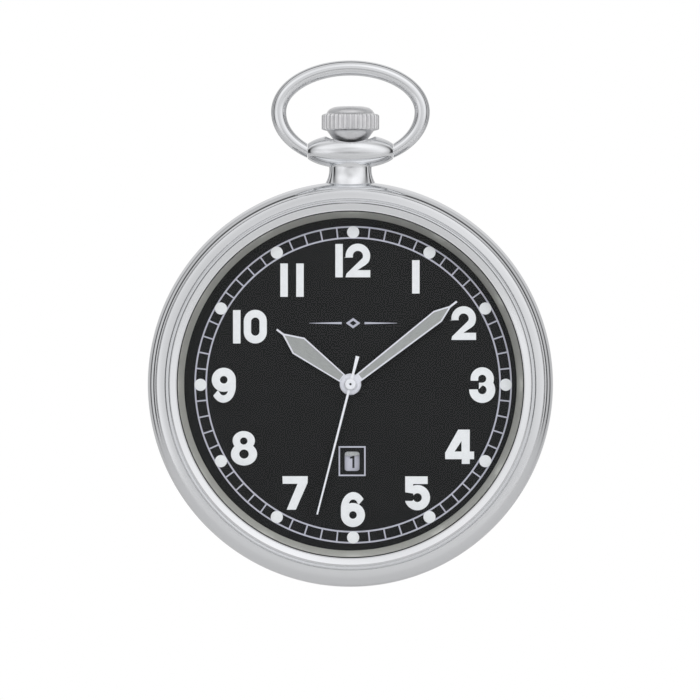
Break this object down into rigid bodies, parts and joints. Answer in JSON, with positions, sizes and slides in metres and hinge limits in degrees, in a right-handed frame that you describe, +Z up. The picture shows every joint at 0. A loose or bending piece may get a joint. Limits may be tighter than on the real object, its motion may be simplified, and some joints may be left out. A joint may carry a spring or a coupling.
{
  "type": "open face pocket watch",
  "caption": "Round open face pocket watch with a hinged oval bow, knurled crown, black dial, three hands, a date window and a quartz movement with its train and setting work.",
  "frame": {"origin": "inside the top of the bow on its centre plane, where a chain's swivel bears when the watch hangs", "axes": "+Z up along the stem from the dial's 6 to its 12 and through the bow; +Y out of the caseback, along every arbor, so the dial faces -Y; +X towards the dial's 3"},
  "size_m": [0.048, 0.0104, 0.0624],
  "materials": {
    "polished_steel": "high polish stainless case steel",
    "crown_steel": "satin stainless steel, knurled",
    "hand_metal": "silvered hands with grey faces",
    "dial_black": "satin black lacquer",
    "rehaut_steel": "fine radial grain, dark grey",
    "crystal_glass": "clear mineral glass, slightly domed",
    "seal_rubber": "matte black nitrile",
    "ring_plastic": "moulded dark grey",
    "brass": "fine straight grain",
    "movement_steel": "fine ground steel",
    "date_white": "matte white with black figures",
    "coil_copper": "enamelled copper winding",
    "board_green": "solder mask over glass fibre",
    "chip_black": "potting resin",
    "battery_steel": "drawn nickel-plated can"
  },
  "bodies": {
    "case": {"case_middle": "polished_steel", "pendant": "polished_steel", "pendant_sleeve": "movement_steel", "bezel": "polished_steel", "crystal": "crystal_glass", "crystal_gasket": "seal_rubber", "rehaut_ring": "rehaut_steel", "caseback": "polished_steel", "caseback_gasket": "seal_rubber", "dial": "dial_black", "movement_ring": "ring_plastic", "main_plate": "brass", "train_bridge": "movement_steel", "bridge_screw_1": "movement_steel", "bridge_screw_2": "movement_steel", "bridge_screw_3": "movement_steel", "stator": "movement_steel", "coil": "coil_copper", "circuit_board": "board_green", "integrated_circuit": "chip_black", "quartz_can": "battery_steel", "battery": "battery_steel", "battery_clamp": "movement_steel", "clamp_screw": "movement_steel", "date_ring_cover": "movement_steel"},
    "bow": {"bow": "polished_steel"},
    "setting_lever": {"setting_lever": "movement_steel"},
    "crown": {"crown": "crown_steel", "crown_gasket": "seal_rubber", "stem": "movement_steel"},
    "yoke": {"yoke": "movement_steel"},
    "sliding_pinion": {"sliding_pinion": "movement_steel"},
    "seconds": {"seconds_hand": "hand_metal", "seconds_wheel": "brass"},
    "minutes": {"minute_hand": "hand_metal", "cannon_pinion": "movement_steel", "centre_wheel": "brass"},
    "hours": {"hour_hand": "hand_metal", "hour_wheel": "brass"},
    "third": {"third_wheel": "brass"},
    "intermediate": {"intermediate_wheel": "brass"},
    "rotor": {"rotor": "movement_steel"},
    "minute_wheel": {"minute_wheel": "brass"},
    "setting_wheel": {"setting_wheel": "movement_steel"},
    "date_driver": {"date_driving_wheel": "brass"},
    "date_ring": {"date_ring": "date_white"}
  },
  "joints": [
    {"name": "bow_swing", "type": "hinge", "parent": "case", "child": "bow", "pos_m": [0, 0, -0.00899], "axis": [1, 0, 0], "range_deg": [-138, 138]},
    {"name": "stem_pull", "type": "slide", "parent": "case", "child": "setting_lever", "axis": [0, 0, 1], "range_m": [0, 0.001]},
    {"name": "crown_turn", "type": "hinge", "parent": "setting_lever", "child": "crown", "pos_m": [0, 0, -0.03657], "axis": [0, 0, 1], "continuous": true},
    {"name": "yoke_shift", "type": "slide", "parent": "case", "child": "yoke", "axis": [0, 0, 1], "range_m": [-0.0005, 0]},
    {"name": "pinion_turn", "type": "hinge", "parent": "yoke", "child": "sliding_pinion", "pos_m": [0, 0, -0.03657], "axis": [0, 0, 1], "continuous": true},
    {"name": "seconds_turn", "type": "hinge", "parent": "case", "child": "seconds", "pos_m": [0, 0, -0.03657], "axis": [0, 1, 0], "continuous": true},
    {"name": "minutes_turn", "type": "hinge", "parent": "case", "child": "minutes", "pos_m": [0, 0, -0.03657], "axis": [0, 1, 0], "continuous": true},
    {"name": "hours_turn", "type": "hinge", "parent": "case", "child": "hours", "pos_m": [0, 0, -0.03657], "axis": [0, 1, 0], "continuous": true},
    {"name": "third_turn", "type": "hinge", "parent": "case", "child": "third", "pos_m": [0.00354, 0, -0.03719], "axis": [0, 1, 0], "continuous": true},
    {"name": "intermediate_turn", "type": "hinge", "parent": "case", "child": "intermediate", "pos_m": [-0.0012, 0, -0.03986], "axis": [0, 1, 0], "continuous": true},
    {"name": "rotor_turn", "type": "hinge", "parent": "case", "child": "rotor", "pos_m": [-0.00164, 0, -0.04234], "axis": [0, 1, 0], "continuous": true},
    {"name": "minute_wheel_turn", "type": "hinge", "parent": "case", "child": "minute_wheel", "pos_m": [0.00159, 0, -0.03403], "axis": [0, 1, 0], "continuous": true},
    {"name": "setting_wheel_turn", "type": "hinge", "parent": "case", "child": "setting_wheel", "pos_m": [0.00038, 0, -0.03087], "axis": [0, 1, 0], "continuous": true},
    {"name": "date_driver_turn", "type": "hinge", "parent": "case", "child": "date_driver", "pos_m": [0.00297, 0, -0.03954], "axis": [0, 1, 0], "continuous": true},
    {"name": "date_ring_turn", "type": "hinge", "parent": "case", "child": "date_ring", "pos_m": [0, 0, -0.03657], "axis": [0, 1, 0], "continuous": true}
  ],
  "couplings": [
    {"joint": "yoke_shift", "follows": "stem_pull", "ratio": -0.5},
    {"joint": "pinion_turn", "follows": "crown_turn", "ratio": 1},
    {"joint": "third_turn", "follows": "seconds_turn", "ratio": -0.13333},
    {"joint": "minutes_turn", "follows": "seconds_turn", "ratio": 0.016667},
    {"joint": "hours_turn", "follows": "seconds_turn", "ratio": 0.0013889},
    {"joint": "intermediate_turn", "follows": "seconds_turn", "ratio": -5},
    {"joint": "rotor_turn", "follows": "seconds_turn", "ratio": 30},
    {"joint": "minute_wheel_turn", "follows": "seconds_turn", "ratio": -0.0055556},
    {"joint": "setting_wheel_turn", "follows": "seconds_turn", "ratio": 0.011111},
    {"joint": "date_driver_turn", "follows": "seconds_turn", "ratio": -0.00069444},
    {"joint": "date_ring_turn", "follows": "seconds_turn", "ratio": -0.000022401}
  ]
}
